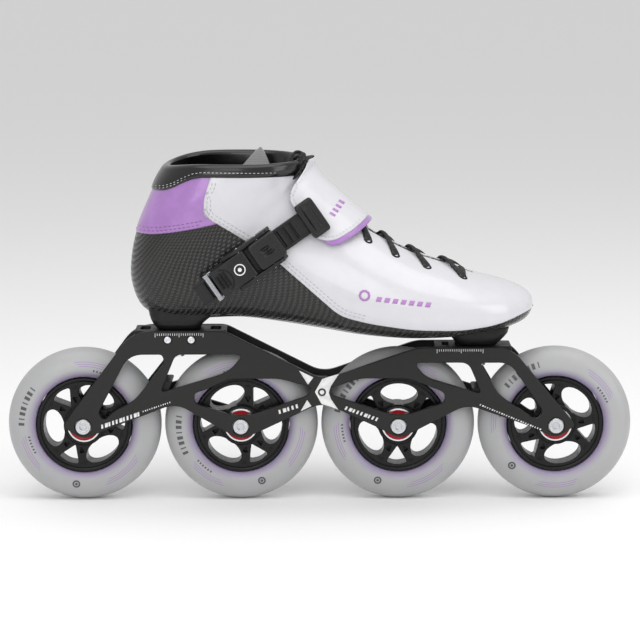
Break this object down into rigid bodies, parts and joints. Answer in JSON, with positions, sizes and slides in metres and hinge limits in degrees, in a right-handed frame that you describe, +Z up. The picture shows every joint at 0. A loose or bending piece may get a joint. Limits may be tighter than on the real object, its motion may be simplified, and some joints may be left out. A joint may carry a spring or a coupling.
{
  "type": "inline skate",
  "caption": "Low-cut right-foot inline speed skate: carbon boot with laces and ratchet strap on a long aluminium frame with large urethane wheels.",
  "frame": {"origin": "on the ground half way between the first and last axle, under the frame's centre plane", "axes": "+X towards the toe, -Y to the outer (lateral) side of the foot, +Z up"},
  "size_m": [0.4044, 0.101, 0.2275],
  "materials": {
    "urethane": "satin, slightly translucent cast urethane",
    "hub_nylon": "glass-filled nylon, semi-matt",
    "bearing_steel": "ground steel rings with red shields",
    "aluminium_bright": "turned",
    "plated_steel": "bright zinc plating",
    "anodised_frame": "black anodised aluminium, satin",
    "insert_brass": "knurled",
    "carbon_weave": "clear-coated carbon twill",
    "white_patent": "high-gloss coated microfibre",
    "lilac_patent": "high-gloss coated microfibre",
    "black_patent": "high-gloss coated microfibre",
    "liner_fabric": "brushed knit",
    "tongue_mesh": "spacer mesh",
    "insole_foam": "fabric-faced foam",
    "lace_cord": "round braided polyester with grey flecks",
    "webbing_grey": "woven tape",
    "black_nylon": "moulded nylon, semi-matt",
    "keeper_steel": "polished wire-form"
  },
  "bodies": {
    "skate": {"spacer_1": "aluminium_bright", "axle_1": "plated_steel", "spacer_2": "aluminium_bright", "axle_2": "plated_steel", "spacer_3": "aluminium_bright", "axle_3": "plated_steel", "spacer_4": "aluminium_bright", "axle_4": "plated_steel", "rail_lateral": "anodised_frame", "rail_medial": "anodised_frame", "heel_bridge": "anodised_frame", "toe_deck": "anodised_frame", "web_rear": "anodised_frame", "web_middle": "anodised_frame", "web_front": "anodised_frame", "mount_bolt_heel": "plated_steel", "mount_bolt_toe": "plated_steel", "washer_heel": "plated_steel", "washer_toe": "plated_steel", "bridge_screw_lateral_1": "plated_steel", "bridge_screw_lateral_2": "plated_steel", "bridge_screw_medial_1": "plated_steel", "bridge_screw_medial_2": "plated_steel", "buckle_rivet": "plated_steel", "buckle_lever_pin": "plated_steel", "buckle_release_pin": "plated_steel", "insert_heel": "insert_brass", "insert_toe": "insert_brass", "carbon_shell": "carbon_weave", "upper": "white_patent", "heel_panel": "lilac_patent", "collar": "black_patent", "liner": "liner_fabric", "tongue": "tongue_mesh", "insole": "insole_foam", "instep_strap": "white_patent", "laces": "lace_cord", "pull_tab": "webbing_grey", "buckle_base": "black_nylon", "ladder_keeper": "keeper_steel"},
    "wheel_1": {"tyre_1": "urethane", "hub_1": "hub_nylon", "bearing_1_lateral": "bearing_steel", "bearing_1_medial": "bearing_steel"},
    "wheel_2": {"tyre_2": "urethane", "hub_2": "hub_nylon", "bearing_2_lateral": "bearing_steel", "bearing_2_medial": "bearing_steel"},
    "wheel_3": {"tyre_3": "urethane", "hub_3": "hub_nylon", "bearing_3_lateral": "bearing_steel", "bearing_3_medial": "bearing_steel"},
    "wheel_4": {"tyre_4": "urethane", "hub_4": "hub_nylon", "bearing_4_lateral": "bearing_steel", "bearing_4_medial": "bearing_steel"},
    "ladder": {"ladder_strap": "black_nylon", "strap_end_plate": "black_nylon"},
    "lever": {"buckle_lever": "black_nylon"},
    "release": {"buckle_release": "black_nylon"}
  },
  "joints": [
    {"name": "wheel_1_spin", "type": "hinge", "parent": "skate", "child": "wheel_1", "pos_m": [-0.1525, 0, 0.0497], "axis": [0, 1, 0], "continuous": true},
    {"name": "wheel_2_spin", "type": "hinge", "parent": "skate", "child": "wheel_2", "pos_m": [-0.05083, 0, 0.0497], "axis": [0, 1, 0], "continuous": true},
    {"name": "wheel_3_spin", "type": "hinge", "parent": "skate", "child": "wheel_3", "pos_m": [0.05083, 0, 0.0497], "axis": [0, 1, 0], "continuous": true},
    {"name": "wheel_4_spin", "type": "hinge", "parent": "skate", "child": "wheel_4", "pos_m": [0.1525, 0, 0.0497], "axis": [0, 1, 0], "continuous": true},
    {"name": "strap_ratchet", "type": "slide", "parent": "skate", "child": "ladder", "axis": [0.817, 0.1219, 0.5636], "range_m": [-0.008, 0.012]},
    {"name": "lever_lift", "type": "hinge", "parent": "skate", "child": "lever", "pos_m": [-0.04555, -0.04627, 0.15846], "axis": [-0.5678, 0, 0.8231], "range_deg": [0, 60]},
    {"name": "release_press", "type": "hinge", "parent": "skate", "child": "release", "pos_m": [-0.03409, -0.04486, 0.16637], "axis": [-0.5678, 0, 0.8231], "range_deg": [0, 14], "stiffness_Nm_per_rad": 0.05, "springref_deg": -11.46}
  ]
}
